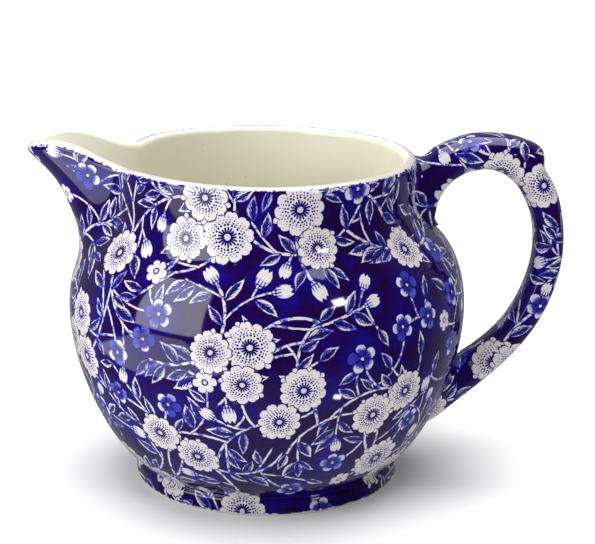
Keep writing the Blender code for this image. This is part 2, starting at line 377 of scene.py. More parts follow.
class Printed:
    """One printed surface and what is laid out on it: motifs, with a place and a frame, and stems."""

    def __init__(self, points, normals, quads, seed):
        self.points = points
        self.quads = quads
        self.tree = BVHTree.FromPolygons([Vector(p) for p in points], quads.tolist())
        self.random = np.random.default_rng(seed)
        corner = points[quads]
        cross = np.cross(corner[:, 2] - corner[:, 0], corner[:, 3] - corner[:, 1])
        area = np.linalg.norm(cross, axis=1) / 2
        self.weight = area / area.sum()
        self.middle = corner.mean(axis=1)
        self.facing = normals[quads].mean(axis=1)
        self.motifs = []
        self.strands = []
        self.fresh = []
        self.stem_points = np.zeros((0, 3))
        self.taken = np.zeros((0, 4))

    def settle(self, point):
        """The nearest place on the surface, and the outward normal there."""
        place, _, face, _ = self.tree.find_nearest(Vector(point))
        return np.array(place), unit(self.facing[face])

    def anywhere(self, count):
        """Random places on the surface, each with its normal."""
        for face in self.random.choice(len(self.quads), count, p=self.weight):
            yield self.middle[face], self.facing[face]

    def between(self, low, high):
        return self.random.uniform(low, high)

    def either(self):
        return self.random.choice((-1, 1))

    def tangent(self, normal, turn=None):
        """A unit tangent in a random or a given direction, measured about the normal."""
        base = unit(np.cross(normal, SLANT))
        return swing(base, normal, self.between(0, FULL_TURN) if turn is None else turn)

    def free(self, point, radius, among=None):
        """Whether a disc is clear of everything laid down so far, or of some of it."""
        gap = np.linalg.norm(self.taken[:, :3] - point, axis=1) - self.taken[:, 3] - radius
        if among is not None:
            gap = gap[among]
        return gap.size == 0 or gap.min() > 0

    def beyond(self, point, reach):
        """Which of the things laid down so far are farther off than reach."""
        return np.linalg.norm(self.taken[:, :3] - point, axis=1) > reach

    def take(self, points, radius):
        points = np.atleast_2d(points)
        self.taken = np.vstack([self.taken, np.hstack([points, np.full((len(points), 1), radius)])])

    def add(self, kind, point, normal, along, size, reserve=1.0):
        """Puts a motif down and takes its ground, or a share of it."""
        motif = {
            "kind": kind,
            "point": point,
            "normal": normal,
            "along": unit(along - normal * (along @ normal)),
            "size": size,
            "seed": self.between(0.05, 0.95),
            "layer": 0,
        }
        self.motifs.append(motif)
        if reserve:
            self.take(point, size * reserve)
        return motif

    def of_kind(self, *kinds):
        return [motif for motif in self.motifs if motif["kind"] in kinds]

    def walk(self, point, heading, length, bend):
        """A curve on the surface that starts in a direction and turns by bend radians per millimetre.

        It stops short at an open edge. It gives the path and the direction at its end.
        """
        path = [point]
        _, normal = self.settle(point)
        for _ in range(int(length / STEP)):
            heading = unit(heading - normal * (heading @ normal))
            heading = swing(heading, normal, bend * STEP)
            onward, normal = self.settle(point + heading * STEP)
            if np.linalg.norm(onward - point) < 0.4 * STEP:
                break
            point = onward
            path.append(point)
        return np.array(path), heading


def scatter_blossoms(sheet, target, chance_of_more):
    """Clusters of one to three large blossoms, a little overlapped, spread evenly."""
    made = 0
    for point, normal in sheet.anywhere(BLOSSOM_TRIES):
        if made >= target:
            break
        size = SIZE[BLOSSOM] * sheet.between(0.93, 1.06)
        if not sheet.free(point, size + CLUSTER_GAP):
            continue
        cluster = [sheet.add(BLOSSOM, point, unit(normal), sheet.tangent(normal), size, 0)]
        turn = sheet.between(0, FULL_TURN)
        more = sheet.random.choice(3, p=chance_of_more)
        for i in range(more):
            other = SIZE[BLOSSOM] * sheet.between(0.86, 1.0)
            away = sheet.tangent(cluster[0]["normal"], turn)
            reach = (size + other) * sheet.between(0.86, 1.02)
            place, facing = sheet.settle(point + away * reach)
            turn += math.radians(sheet.between(62, 78)) if more == 2 else 0
            if not sheet.free(place, other + BLOSSOM_GAP):
                continue
            blossom = sheet.add(BLOSSOM, place, facing, sheet.tangent(facing), other, 0)
            blossom["layer"] = 1 if i == 0 else 0
            cluster.append(blossom)
        if len(cluster) == 3 and np.linalg.norm(point - cluster[2]["point"]) < size + 4:
            cluster[2]["layer"] = 2
        for blossom in cluster:
            sheet.take(blossom["point"], blossom["size"])
        made += len(cluster)


def scatter(sheet, kind, target, margin):
    made = 0
    for point, normal in sheet.anywhere(FLOWER_TRIES):
        if made >= target:
            break
        size = SIZE[kind] * sheet.between(0.9, 1.1)
        if sheet.free(point, size + margin):
            sheet.add(kind, point, unit(normal), sheet.tangent(normal), size)
            made += 1


def run_stem(sheet, start, heading, length, bend, half, meets, free_run):
    """A stalk that wanders over the ground until it meets another stem, or has its full length.

    It meets no stem on its free run, and it isn't grown if it is very short or follows another closely.
    """
    path, _ = sheet.walk(start, heading, length, bend)
    met = len(path) < int(length / STEP)
    near = np.full(len(path), FAR)
    if len(sheet.stem_points):
        near = np.array([np.linalg.norm(sheet.stem_points - p, axis=1).min() for p in path])
    hits = np.flatnonzero(near[int(free_run / STEP) :] < meets)
    if len(hits):
        count = int(free_run / STEP) + hits[0] + 1
        path, near, met = path[:count], near[:count], True
    if len(path) < 8:
        return None
    beside = near[10:-4] < 1.5
    if len(beside) and np.mean(beside) > 0.3:
        return None
    strand = {"path": path, "half": half, "fades": False, "met": met}
    sheet.strands.append(strand)
    sheet.fresh.append(path)
    return strand


def settle_stems(sheet):
    """Makes the stems grown since the last call count as taken ground."""
    for path in sheet.fresh:
        sheet.stem_points = np.vstack([sheet.stem_points, path])
        sheet.take(path[::2], 0.35)
    sheet.fresh = []


def drop_stem(sheet):
    """Takes the last stem back."""
    sheet.strands.pop()
    sheet.fresh.pop()


def grow_stems(sheet, trunks_each):
    """Long bowed stems from the blossoms, and shorter branches that leave them at a narrow angle."""
    trunks = []
    for blossom in sheet.of_kind(BLOSSOM):
        turn = sheet.between(0, FULL_TURN)
        for i in range(trunks_each):
            aside = turn + i * FULL_TURN / trunks_each + sheet.between(-0.5, 0.5)
            heading = sheet.tangent(blossom["normal"], aside)
            bend = sheet.either() * sheet.between(0.035, 0.085)
            length = blossom["size"] + sheet.between(11, 25)
            half = sheet.between(0.28, 0.36)
            strand = run_stem(sheet, blossom["point"], heading, length, bend, half, MEETS, 8.0)
            if strand:
                strand["skip"] = int(blossom["size"] / STEP) + 3
                trunks.append(strand)
            settle_stems(sheet)
    for strand in trunks:
        path = strand["path"]
        at = strand["skip"] + sheet.random.integers(0, 8)
        side = sheet.either()
        while at < len(path) - 5:
            start, normal = sheet.settle(path[at])
            angle = math.radians(sheet.between(26, 44)) * side
            heading = swing(unit(path[at + 1] - path[at - 1]), normal, angle)
            length = sheet.between(7, 15)
            curl = side * sheet.between(-0.03, 0.09)
            branch = run_stem(sheet, start, heading, length, curl, sheet.between(0.23, 0.31), MEETS, 3.0)
            settle_stems(sheet)
            if branch:
                side = -side
                if not branch["met"]:
                    end_stem(sheet, branch)
            at += sheet.random.integers(10, 22)
    for strand in trunks:
        if not strand["met"]:
            end_stem(sheet, strand)
    for flower in sheet.of_kind(PANSY, FLORET):
        tie_in(sheet, flower)


def tie_in(sheet, flower):
    """A stalk from a flower to the nearest stem that a short curve reaches."""
    first = sheet.between(0, FULL_TURN)
    best = None
    for i in range(9):
        heading = sheet.tangent(flower["normal"], first + i * 0.7)
        bend = (-1) ** i * sheet.between(0.04, 0.11)
        free_run = flower["size"] + 1.5
        strand = run_stem(sheet, flower["point"], heading, 17, bend, 0.27, MEETS_CLOSE, free_run)
        if strand is None:
            continue
        drop_stem(sheet)
        if strand["met"] and (best is None or len(strand["path"]) < len(best["path"])):
            best = strand
    if best:
        sheet.strands.append(best)
        sheet.fresh.append(best["path"])
        settle_stems(sheet)


def end_stem(sheet, strand):
    """What a stem's free end carries: a flower, a bud or a few leaves, or nothing, and then it fades."""
    tip = strand["path"][-1]
    final = unit(tip - strand["path"][-3])
    clear = sheet.beyond(tip, 1.2)
    for kind, wanted in ((PANSY, 0.35), (BUD, 0.55), (FLORET, 0.16)):
        size = SIZE[kind] * sheet.between(0.85, 1.1)
        place, facing = sheet.settle(tip + final * size * 0.6)
        if sheet.random.random() < wanted and sheet.free(place, size * 0.75, clear):
            sheet.add(kind, place, facing, final, size, 0.85)
            return
    spread = math.radians(sheet.between(24, 40))
    turns = (-spread, spread) if sheet.random.random() < 0.5 else (-spread * 1.6, 0.0, spread * 1.6)
    grown = [lay_leaf(sheet, tip, swing(final, facing, turn), clear) for turn in turns]
    strand["fades"] = not any(grown)


def grow_sprigs(sheet, tries):
    """Leaves and short budded twigs where the stems have room beside them."""
    strands = list(sheet.strands)
    lengths = np.array([len(s["path"]) for s in strands], float)
    for _ in range(tries):
        path = strands[sheet.random.choice(len(strands), p=lengths / lengths.sum())]["path"]
        if len(path) < 6:
            continue
        i = sheet.random.integers(2, len(path) - 2)
        start, normal = sheet.settle(path[i])
        clear = sheet.beyond(start, 1.5)
        side = sheet.either()
        angle = math.radians(sheet.between(28, 60)) * side
        heading = swing(unit(path[i + 1] - path[i - 1]), normal, angle)
        if sheet.random.random() < 0.8:
            lay_leaf(sheet, start + heading * 0.3, heading, clear)
            continue
        twig, final = sheet.walk(start, heading, sheet.between(2.5, 6.0), sheet.between(-0.1, 0.1))
        size = SIZE[BUD] * sheet.between(0.85, 1.1)
        place, facing = sheet.settle(twig[-1] + final * size * 0.6)
        if len(twig) <= 4 or not sheet.free(place, size * 0.85, clear):
            continue
        if all(sheet.free(p, 0.7, clear) for p in twig[3:]):
            sheet.strands.append({"path": twig, "half": 0.25, "fades": False})
            sheet.add(BUD, place, facing, final, size, 0.85)
            sheet.take(twig, 0.3)


def lay_leaf(sheet, base, heading, among):
    """One leaf from its base in a direction, if its blade is clear of some of what was there before."""
    length = 2 * SIZE[LEAF] * sheet.between(0.8, 1.12)
    before = np.zeros(len(sheet.taken), bool)
    before[: len(among)] = among
    for share in (0.3, 0.6, 0.85, 1.05):
        place, _ = sheet.settle(base + heading * length * share)
        if not sheet.free(place, 0.75 if share < 1 else 0.2, before):
            return False
    middle, facing = sheet.settle(base + heading * length / 2)
    sheet.add(LEAF, middle, facing, heading, length / 2, 0)
    for share, radius in ((0.35, 0.85), (0.65, 0.85), (0.92, 0.4)):
        sheet.take(sheet.settle(base + heading * length * share)[0], radius)
    return True


def fill_voids(sheet, tries):
    """A single leaf on its own stalk, or a lone flower, in ground that is still empty."""
    for point, facing in sheet.anywhere(tries):
        normal = unit(facing)
        heading = sheet.tangent(normal)
        if sheet.free(point, 3.9):
            kind = PANSY if sheet.random.random() < 0.75 else FLORET
            tie_in(sheet, sheet.add(kind, point, normal, heading, SIZE[kind] * 0.95))
        elif sheet.free(point, 1.9):
            base, _ = sheet.settle(point - heading * 2.6)
            bend = sheet.either() * sheet.between(0.03, 0.1)
            stalk = run_stem(sheet, base, -heading, 11, bend, 0.25, MEETS_CLOSE, 1.5)
            if stalk is None:
                continue
            everything = np.ones(len(sheet.taken), bool)
            if stalk["met"] and lay_leaf(sheet, base, heading, everything):
                settle_stems(sheet)
            else:
                drop_stem(sheet)


def local(motif, points):
    """Coordinates along and across a motif in units of its size, true in length on a curve."""
    away = points - motif["point"]
    across = np.cross(motif["normal"], motif["along"])
    x = away @ motif["along"]
    y = away @ across
    flat = np.hypot(x, y)
    true = np.linalg.norm(away, axis=-1)
    stretch = true / np.maximum(flat, 1e-9)
    return np.stack([x * stretch, y * stretch], axis=-1) / motif["size"]


class Place:
    """A motif's own coordinates: two in units of its size, and its seed."""

    def __init__(self, sheet, motif, aspect, kinds):
        self.sheet = sheet
        self.motif = motif
        self.aspect = aspect
        self.code = motif["seed"] + (motif["kind"] if kinds else 0)

    def reach(self, points):
        """Which points are near, and how near, with the way across weighted by the aspect."""
        gap = np.linalg.norm(points - self.motif["point"], axis=1)
        facing = self.sheet.facing @ self.motif["normal"]
        near = np.flatnonzero((gap < 2.4 * self.motif["size"]) & (facing > -0.3))
        flat = local(self.motif, points[near])
        return near, np.hypot(flat[:, 0], flat[:, 1] * self.aspect)

    def values(self, points):
        flat = local(self.motif, points)
        return np.concatenate([flat, np.full((*flat.shape[:-1], 1), self.code)], axis=-1)


class Line:
    """A stem's centre line, run on a little past both ends, and the coordinates that it gives.

    They are the way in from a fading end, the way across in half widths, and a seed.
    """

    def __init__(self, sheet, strand, seed):
        path = strand["path"]
        before = path[0] + (path[0] - path[1])[None] * np.arange(5, 0, -1)[:, None]
        after = path[-1] + (path[-1] - path[-2])[None] * np.arange(1, 6)[:, None]
        line = np.concatenate([before, path, after])
        spots = np.linspace(0, len(line) - 1, (len(line) - 1) * 2 + 1)
        line = np.stack([np.interp(spots, np.arange(len(line)), line[:, i]) for i in range(3)], axis=1)
        tangent = np.gradient(line, axis=0)
        tangent /= np.linalg.norm(tangent, axis=1, keepdims=True)
        gaps = np.linalg.norm(np.diff(line, axis=0), axis=1)
        self.strand = strand
        self.seed = seed
        self.line = line
        self.tangent = tangent
        self.side = np.cross([sheet.settle(point)[1] for point in line], tangent)
        self.place = np.concatenate([[0], np.cumsum(gaps)])

    def measure(self, points):
        """How far along the line and to its side each point lies."""
        away = points[:, None] - self.line[None]
        index = (away**2).sum(axis=2).argmin(axis=1)
        offset = points - self.line[index]
        along = self.place[index] + (offset * self.tangent[index]).sum(axis=1)
        return along, (offset * self.side[index]).sum(axis=1)

    def reach(self, points):
        low, high = self.line.min(axis=0) - 2.5, self.line.max(axis=0) + 2.5
        near = np.flatnonzero(np.all((points > low) & (points < high), axis=1))
        if not len(near):
            return near, near
        along, across = self.measure(points[near])
        past_end = (along < self.place[10] - 0.15) | (along > self.place[-11] + 0.15)
        return near, np.abs(across) + np.where(past_end, FAR, 0)

    def values(self, points):
        along, across = self.measure(points.reshape(-1, 3))
        inward = np.full(len(along), FAR)
        if self.strand["fades"]:
            inward = np.minimum(inward, self.place[-11] - along)
        seed = np.full(len(along), self.seed)
        return np.stack([inward, across / self.strand["half"], seed], axis=1).reshape(points.shape)


def layer(sheet, owners, limit, empty):
    """For each face corner, the coordinates that the nearest owner within a limit gives it."""
    corners = np.tile(np.array(empty), (len(sheet.quads), 4, 1))
    best = np.full(len(sheet.quads), limit)
    choice = np.full(len(sheet.quads), -1)
    for number, owner in enumerate(owners):
        near, metric = owner.reach(sheet.middle)
        better = metric < best[near]
        best[near[better]] = metric[better]
        choice[near[better]] = number
    for number, owner in enumerate(owners):
        own = np.flatnonzero(choice == number)
        if len(own):
            corners[own] = owner.values(sheet.points[sheet.quads[own]])
    return corners


def strand_layer(sheet, strands):
    """A layer of stems."""
    lines = [Line(sheet, strand, (number * 0.377) % 1) for number, strand in enumerate(strands)]
    return layer(sheet, lines, 2.0, (-FAR, FAR, FAR))


def motif_layer(sheet, motifs, aspect=1.0, kinds=False):
    """A layer of motifs; where it has several kinds, the kind is added to the seed."""
    places = [Place(sheet, motif, aspect, kinds) for motif in motifs]
    return layer(sheet, places, 2.2, (FAR, FAR, FAR))


def share_out(strands, layers):
    """Gives strands that meet or cross different layers."""
    placed = [[] for _ in range(layers)]

    def clash(path, others):
        gaps = [np.linalg.norm(path[:, None] - other["path"][None, ::2], axis=2) for other in others]
        return sum((gap < 2.2).sum() for gap in gaps)

    for strand in sorted(strands, key=lambda s: -len(s["path"])):
        path = strand["path"][::2]
        least = min(range(layers), key=lambda layer: clash(path, placed[layer]))
        placed[least].append(strand)
    return placed


def coordinates(sheet):
    """Every layer of face-corner coordinates that the print's shader reads."""
    layers = {}
    for number, strands in enumerate(share_out(sheet.strands, STEM_LAYERS)):
        layers[f"stem_{number}"] = strand_layer(sheet, strands)
    leaves = sheet.of_kind(LEAF)
    for number in range(LEAF_LAYERS):
        layers[f"leaf_{number}"] = motif_layer(sheet, leaves[number::LEAF_LAYERS], aspect=1.9)
    layers["flower"] = motif_layer(sheet, sheet.of_kind(PANSY, FLORET, BUD), kinds=True)
    for number in range(BLOSSOM_LAYERS):
        blossoms = [m for m in sheet.of_kind(BLOSSOM) if m["layer"] == number]
        layers[f"blossom_{number}"] = motif_layer(sheet, blossoms)
    return layers


def lay_out(sheet, chance_of_more, blossoms, pansies, sprigs, voids):
    """Fills a surface: so many blossoms and pansies, and so many tries at sprigs and at empty ground."""
    scatter_blossoms(sheet, blossoms, chance_of_more)
    scatter(sheet, PANSY, pansies, margin=1.4)
    grow_stems(sheet, TRUNKS_EACH)
    grow_sprigs(sheet, sprigs)
    fill_voids(sheet, voids)
    return coordinates(sheet)


# ---------------------------------------------------------------- shader arithmetic


def feed(tree, value, entry):
    """Gives a node's input a field, another node's output, a colour or a number."""
    if isinstance(value, Field):
        value = value.socket
    if isinstance(value, bpy.types.NodeSocket):
        tree.links.new(value, entry)
    else:
        entry.default_value = (*value, 1.0) if isinstance(value, tuple) else value


def by(operation):
    """A method that applies one operation of the Math node."""
    return lambda self, *others: self.math(operation, *others)


class Field:
    """A number that varies over the surface: one output of a node, with ordinary arithmetic."""

    def __init__(self, tree, socket):
        self.tree = tree
        self.socket = socket

    def math(self, operation, *others, clamp=False):
        node = self.tree.nodes.new("ShaderNodeMath")
        node.operation = operation
        node.use_clamp = clamp
        for entry, value in zip(node.inputs, (self, *others)):
            feed(self.tree, value, entry)
        return Field(self.tree, node.outputs[0])

    __add__ = __radd__ = by("ADD")
    __mul__ = __rmul__ = by("MULTIPLY")
    __sub__ = by("SUBTRACT")
    __truediv__ = by("DIVIDE")
    __pow__ = by("POWER")
    __gt__ = by("GREATER_THAN")
    __lt__ = by("LESS_THAN")
    over = by("MAXIMUM")
    under = by("MINIMUM")
    size = property(by("ABSOLUTE"))
    whole = property(by("FLOOR"))
    part = property(by("FRACT"))
    sine = property(by("SINE"))

    def __rsub__(self, other):
        return (self * -1.0) + other

    def ramp(self, start, end):
        """0 at start, 1 at end, with a soft rise and fall between."""
        node = self.tree.nodes.new("ShaderNodeMapRange")
        node.interpolation_type = "SMOOTHSTEP"
        for name, value in (("Value", self), ("From Min", start), ("From Max", end)):
            feed(self.tree, value, node.inputs[name])
        return Field(self.tree, node.outputs["Result"])

    def mix(self, low, high):
        """low where this is 0, high where it is 1."""
        return low + (high - low) * self


def scramble(a, b):
    """A number from 0 to 1 that looks random for each pair."""
    return ((a * 12.9898 + b * 78.233).sine * 43758.5453).part


def hypotenuse(x, y):
    return (x * x + y * y).math("SQRT")


def attribute(tree, name):
    """The three parts of a face-corner coordinate."""
    node = tree.nodes.new("ShaderNodeAttribute")
    node.attribute_name = name
    return parts(tree, node.outputs["Vector"])


def noise(tree, scale, detail=2.0, roughness=0.5, seed=0.0):
    """Noise in the object's own space, with a scale in features per millimetre."""
    place = tree.nodes.new("ShaderNodeTexCoord")
    shift = tree.nodes.new("ShaderNodeMapping")
    feed(tree, place.outputs["Object"], shift.inputs["Vector"])
    shift.inputs["Location"].default_value = (seed, seed * 0.7, -seed)
    node = tree.nodes.new("ShaderNodeTexNoise")
    feed(tree, shift.outputs[0], node.inputs["Vector"])
    node.inputs["Scale"].default_value = scale / MM
    node.inputs["Detail"].default_value = detail
    node.inputs["Roughness"].default_value = roughness
    return Field(tree, node.outputs["Fac"])


def parts(tree, socket, kind="XYZ"):
    """The three parts of a vector or of a colour."""
    node = tree.nodes.new("ShaderNodeSeparate" + kind)
    feed(tree, socket, node.inputs[0])
    return [Field(tree, output) for output in node.outputs]


def mix_color(tree, share, low, high):
    node = tree.nodes.new("ShaderNodeMix")
    node.data_type = "RGBA"
    feed(tree, share, node.inputs["Factor"])
    for name, value in (("A", low), ("B", high)):
        feed(tree, value, next(s for s in node.inputs if s.name == name and s.type == "RGBA"))
    return next(s for s in node.outputs if s.type == "RGBA")


# ---------------------------------------------------------------- the engraved motifs
# Each gives (paint, cover): how white the mark is, 0 to 1, and how far it hides what is below.
# A motif's coordinates are in units of its size.

# A blossom's rings of dots start at a radius and lie a gap apart, as do the dots on a ring; its
# eye has strokes round it.
RINGS_FROM = 0.43
RING_GAP = 0.098
DOT_GAP = 0.142
SPOKES = 17.0


def petals_of(x, y, seed, count, power):
    """A radius, the turn in petals, the petal's own random number, and how far off its middle it is."""
    radius = hypotenuse(x, y)
    run = (y.math("ARCTAN2", x) + seed * 30.0) * (count / FULL_TURN)
    return radius, run, scramble(run.whole, seed), ((run.part * 2.0 - 1.0).size) ** power


def blossom(x, y, seed):
    """A full-blown flower: scalloped petals, rings of dots, strokes about a white eye, sepals between."""
    radius = hypotenuse(x, y)
    turn = y.math("ARCTAN2", x) + seed * 40.0
    petals = 9.0 + (seed * 9.7).part.math("MULTIPLY", 3.0).whole
    run = turn * petals / FULL_TURN
    petal = scramble(run.whole, seed)
    bow = ((run.part * 2.0 - 1.0).size) ** 3.0
    dent = ((run.part - 0.5).size.ramp(0.13, 0.0)) * (petal > 0.45)
    edge = 1.0 - bow * 0.19 + (petal - 0.5) * 0.1 - dent * 0.04
    body = (edge - radius).ramp(-0.018, 0.022)

    ring_number = ((radius - RINGS_FROM) / RING_GAP).whole
    ring_at = ring_number * RING_GAP + (RINGS_FROM + RING_GAP / 2)
    count = (ring_at * (FULL_TURN / DOT_GAP)).math("ROUND")
    lap = turn * count / FULL_TURN + ring_number * 0.5
    stray = scramble(lap.whole, seed + 9.0) - 0.5
    sideways = (lap.part - 0.5 + stray * 0.22) * ring_at * FULL_TURN / count
    spot = hypotenuse(sideways, radius - ring_at + stray * 0.025)
    spot_size = 0.047 - ring_number * 0.0065 - scramble(lap.whole, ring_number + seed) * 0.012
    dots = (spot_size - spot).ramp(-0.016, 0.012) * (radius > RINGS_FROM) * (ring_number < 4.0)
    dots = dots * ((ring_number < 3.0).over(scramble(lap.whole, seed) > 0.5))

    spoke = turn * (SPOKES / FULL_TURN)
    aside = ((spoke.part - 0.5).size) * radius * (FULL_TURN / SPOKES)
    tip = 0.345 + scramble(spoke.whole, seed + 3.0) * 0.085
    strokes = (0.033 - aside).ramp(-0.016, 0.014) * radius.ramp(0.115, 0.14)
    strokes = strokes * (tip - radius).ramp(-0.01, 0.03)

    notch = (run + 0.5).whole
    beside = (run - notch) * radius * FULL_TURN / petals
    wanted = scramble(notch, seed + 5.0) > 0.62
    sepal = 1.0 - hypotenuse((radius - 0.985) / 0.145, beside / 0.125)
    sepal_body = sepal.ramp(0.0, 0.16) * (radius - edge).ramp(0.035, 0.065) * wanted

    shade = (0.62 - radius).ramp(0.0, 0.5) * 0.2
    paint = body * (1.0 - dots * 0.93) * (1.0 - strokes * 0.93) - shade * body
    cover = (edge - radius).ramp(-0.07, -0.045).over(sepal.ramp(-0.16, -0.08) * wanted)
    return paint.over(sepal_body).over(0.0), cover


def pansy(x, y, seed, grain):
    """An open flower of five rounded petals, white at their rims and shaded to a dark heart."""
    radius, run, petal, bow = petals_of(x, y, seed, 5.0, 2.6)
    edge = 0.97 - bow * 0.36 - (petal * 0.12)
    body = (edge - radius).ramp(-0.03, 0.05)
    aside = (0.5 - (run.part - 0.5).size) * radius * (FULL_TURN / 5.0)
    body = body * aside.ramp(0.02, 0.075)
    rim = (radius + grain * 0.3 - petal * 0.16).ramp(0.42, 0.8)
    rays = ((run * 9.0).part - 0.5).size.ramp(0.1, 0.4) * 0.3
    eye = (0.1 - radius).ramp(-0.03, 0.03)
    tone = petal.ramp(0.15, 0.6) * 0.75 + 0.25
    paint = body * (rim * tone + (1.0 - rim) * rays).under(1.0)
    return paint.over(eye), (edge - radius).ramp(-0.1, -0.04)


def floret(x, y, seed):
    """A small plain flower of six blunt petals about a ring."""
    radius, _, petal, bow = petals_of(x, y, seed, 6.0, 3.4)
    edge = 0.96 - bow * 0.34 - petal * 0.13
    body = (edge - radius).ramp(-0.03, 0.05)
    eye = ((radius - 0.2).size - 0.05).ramp(0.035, -0.025)
    return body * (1.0 - eye * 0.9), (edge - radius).ramp(-0.12, -0.06)


def bud(x, y, seed, grain):
    """A half-open bud on its stalk, from its cup at x = -1 to the tips of its petals at x = 1."""
    share = (x + 1.0) * 0.5
    lobes = ((y * 2.3 + seed * 2.0).part - 0.5).size * 0.32
    end = share + lobes
    width = (share.over(0.001).under(1.0) * 2.6).sine.over(0.0) ** 0.75 * 0.66
    aside = width - y.size
    body = aside.ramp(-0.05, 0.06) * (1.06 - end).ramp(-0.03, 0.05) * share.ramp(0.0, 0.06)
    strokes = ((y * 3.4 + seed + grain * 0.3).part - 0.5).size.ramp(0.32, 0.12)
    strokes = strokes * (0.62 - share).ramp(0.0, 0.3)
    cup = (share - 0.2).size.ramp(0.06, 0.02)
    paint = body * (1.0 - strokes * 0.75) * (1.0 - cup * 0.6)
    cover = aside.ramp(-0.16, -0.08) * (1.06 - end).ramp(-0.12, -0.05) * share.ramp(-0.02, 0.02)
    return paint, cover


def leaf(x, y, seed, grain):
    """A pointed leaf from x = -1 to its tip at x = 1: pale edge, dark midrib and hatched blade."""
    share = ((x + 1.0) * 0.5).over(0.001)
    swell = (share.under(1.0) ** (0.7 + seed * 0.25)) * math.pi
    width = swell.sine.over(0.0) ** 1.15 * (0.33 + (seed * 5.3).part * 0.1)
    bent = y + (x * x - 0.3) * (seed - 0.5) * 0.4
    inside = width - bent.size
    body = inside.ramp(-0.02, 0.035) * (share < 1.0)
    half = (bent * (seed - 0.5)).ramp(-0.004, 0.004)
    ragged = inside + (grain - 0.5) * 0.16 - half * 0.07
    rim = ragged.ramp(0.13, 0.05) * (0.85 + (seed * 3.7).part * 0.3)
    rib = (bent.size - 0.02).ramp(0.045, 0.0) * (0.84 - share).ramp(0.0, 0.12)
    veins = ((share * 6.0 - bent.size * 7.0 + grain * 1.6).part - 0.5).size.ramp(0.12, 0.4)
    blade = (0.03 + veins * (0.22 + half * 0.6)) * (0.3 + grain * 1.3)
    tip = (share + (grain - 0.5) * 0.5).ramp(0.72, 0.95)
    tone = rim.over(blade).over(tip) * (1.0 - rib * 0.85)
    paint = body * tone * (0.5 + share.ramp(0.0, 0.35) * 0.5) * (0.78 + (seed * 7.1).part * 0.4)
    return paint.under(1.0), inside.ramp(-0.09, -0.04) * (share < 1.02) * (share > 0.01)


def stem(inward, across, grain):
    """A stalk with rough edges; a free end tapers and fades into the ground."""
    taper = inward.ramp(-0.2, 1.6)
    aside = taper * (0.92 + (grain - 0.5) * 0.5) - across.size
    body = aside.ramp(-0.28, 0.22)
    paint = body * (0.6 + taper * 0.4) * (0.6 + grain * 0.7).under(1.0)
    return paint, aside.ramp(-0.8, -0.35) * (inward > 0.0)


# ---------------------------------------------------------------- materials

CREAM_DEEP = (0.805, 0.778, 0.658)
CREAM_PALE = (0.845, 0.818, 0.705)
SPECK_BROWN = (0.35, 0.30, 0.22)
WHITE_PRINT = (0.58, 0.545, 0.53)
MID_BLUE = (0.04, 0.05, 0.41)
DEEP_COBALT = (0.0095, 0.0006, 0.037)
BRIGHT_COBALT = (0.0055, 0.0022, 0.16)
HATCH = 0.42
GLAZE_IOR = 1.5
GLAZE_RELIEF = 0.0045 * MM


def new_material(name):
    material = bpy.data.materials.new(name)
    material.use_nodes = True
    return material, material.node_tree, material.node_tree.nodes["Principled BSDF"]


def glaze_surface(tree, shader, relief=None):
    """The clear glaze: glossy, with the faint unevenness of its surface."""
    shader.inputs["IOR"].default_value = GLAZE_IOR
    fine = noise(tree, 2.6, 1.0, seed=0.3)
    slow = noise(tree, 0.16, 1.0, seed=0.9)
    height = fine * 0.35 + slow * 4.0
    if relief is not None:
        height = height + relief * 0.8
    bump = tree.nodes.new("ShaderNodeBump")
    bump.inputs["Strength"].default_value = 1.0
    bump.inputs["Distance"].default_value = GLAZE_RELIEF
    feed(tree, height, bump.inputs["Height"])
    feed(tree, bump.outputs[0], shader.inputs["Normal"])
    patches = noise(tree, 0.09, 2.0, seed=0.5)
    feed(tree, patches * 0.05 + 0.035, shader.inputs["Roughness"])


def cream_material():
    """The cream glaze of the lip, the inside and the foot, with a few specks."""
    material, tree, shader = new_material("cream_glaze")
    cloud = noise(tree, 0.05, 3.0, seed=0.2)
    grain = noise(tree, 1.2, 3.0, seed=0.7)
    speck = noise(tree, 0.8, 0.0, seed=0.4)
    tone = cloud.ramp(0.3, 0.7) * 0.7 + grain * 0.3
    color = mix_color(tree, tone, CREAM_DEEP, CREAM_PALE)
    color = mix_color(tree, speck.ramp(0.84, 0.9) * 0.4, color, SPECK_BROWN)
    feed(tree, color, shader.inputs["Base Color"])
    glaze_surface(tree, shader)
    return material


